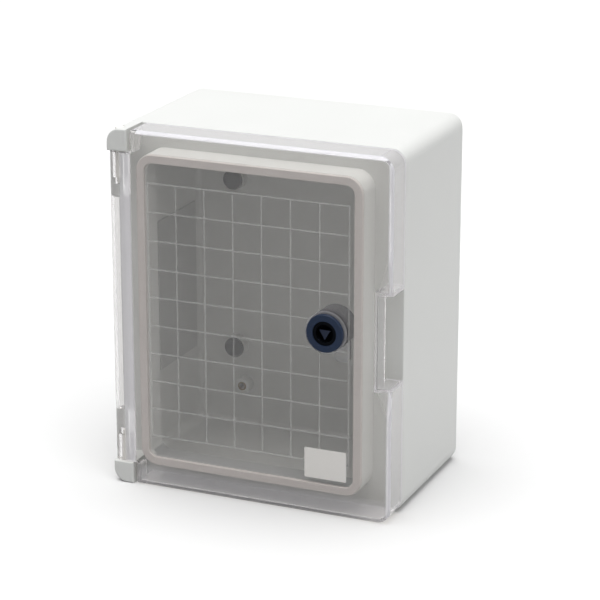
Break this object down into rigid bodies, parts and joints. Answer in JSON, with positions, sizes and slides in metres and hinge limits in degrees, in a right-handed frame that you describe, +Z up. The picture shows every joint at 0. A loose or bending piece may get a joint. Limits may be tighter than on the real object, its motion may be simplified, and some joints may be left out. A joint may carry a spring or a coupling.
{
  "type": "electrical enclosure",
  "caption": "Wall-mounted grey polyester electrical enclosure with a clear hinged cap door, foam seal, finger grip and a quarter-turn triangular-key lock.",
  "frame": {"origin": "middle of the base of the whole closed enclosure", "axes": "+Z up, -Y out of the door, +Y into the wall, +X to the right as seen from the front; hinge on the -X side"},
  "size_m": [0.25, 0.171, 0.308],
  "materials": {
    "grp": "satin moulded glass-filled polyester, light grey",
    "clear_polycarbonate": "clear, polished mould finish",
    "seal_foam": "closed-cell foamed strip, matt",
    "black_nylon": "fine-grained black nylon",
    "blue_nylon": "fine-grained dark blue nylon",
    "dark_grey_nylon": "fine-grained dark grey nylon",
    "natural_nylon": "natural nylon",
    "zinc_plated_steel": "bright zinc plated",
    "brass": "turned and knurled",
    "rubber": "nitrile rubber",
    "white_film": "blank self-adhesive film"
  },
  "bodies": {
    "body": {"body_shell": "grp", "door_seal": "seal_foam", "upper_hinge_pin": "natural_nylon", "lower_hinge_pin": "natural_nylon", "upper_left_fixing_cap": "black_nylon", "upper_left_plate_insert": "brass", "upper_right_fixing_cap": "black_nylon", "upper_right_plate_insert": "brass", "lower_left_fixing_cap": "black_nylon", "lower_left_plate_insert": "brass", "lower_right_fixing_cap": "black_nylon", "lower_right_plate_insert": "brass"},
    "door": {"door_panel": "clear_polycarbonate", "upper_hinge_bush": "natural_nylon", "lower_hinge_bush": "natural_nylon", "blank_label": "white_film", "lock_bezel": "blue_nylon", "lock_face_seal": "rubber", "lock_sleeve": "dark_grey_nylon", "lock_housing": "black_nylon", "lock_nut_washer": "zinc_plated_steel", "lock_nut": "zinc_plated_steel", "lock_wave_washer": "zinc_plated_steel"},
    "lock": {"lock_spindle": "black_nylon", "spindle_oring": "rubber", "cam": "zinc_plated_steel", "cam_washer": "zinc_plated_steel", "cam_screw": "zinc_plated_steel"}
  },
  "joints": [
    {"name": "door_hinge", "type": "hinge", "parent": "body", "child": "door", "pos_m": [-0.1165, -0.072, 0.154], "axis": [0, 0, -1], "range_deg": [0, 180]},
    {"name": "lock_turn", "type": "hinge", "parent": "door", "child": "lock", "pos_m": [0.07, -0.0705, 0.159], "axis": [0, -1, 0], "range_deg": [0, 90]}
  ]
}
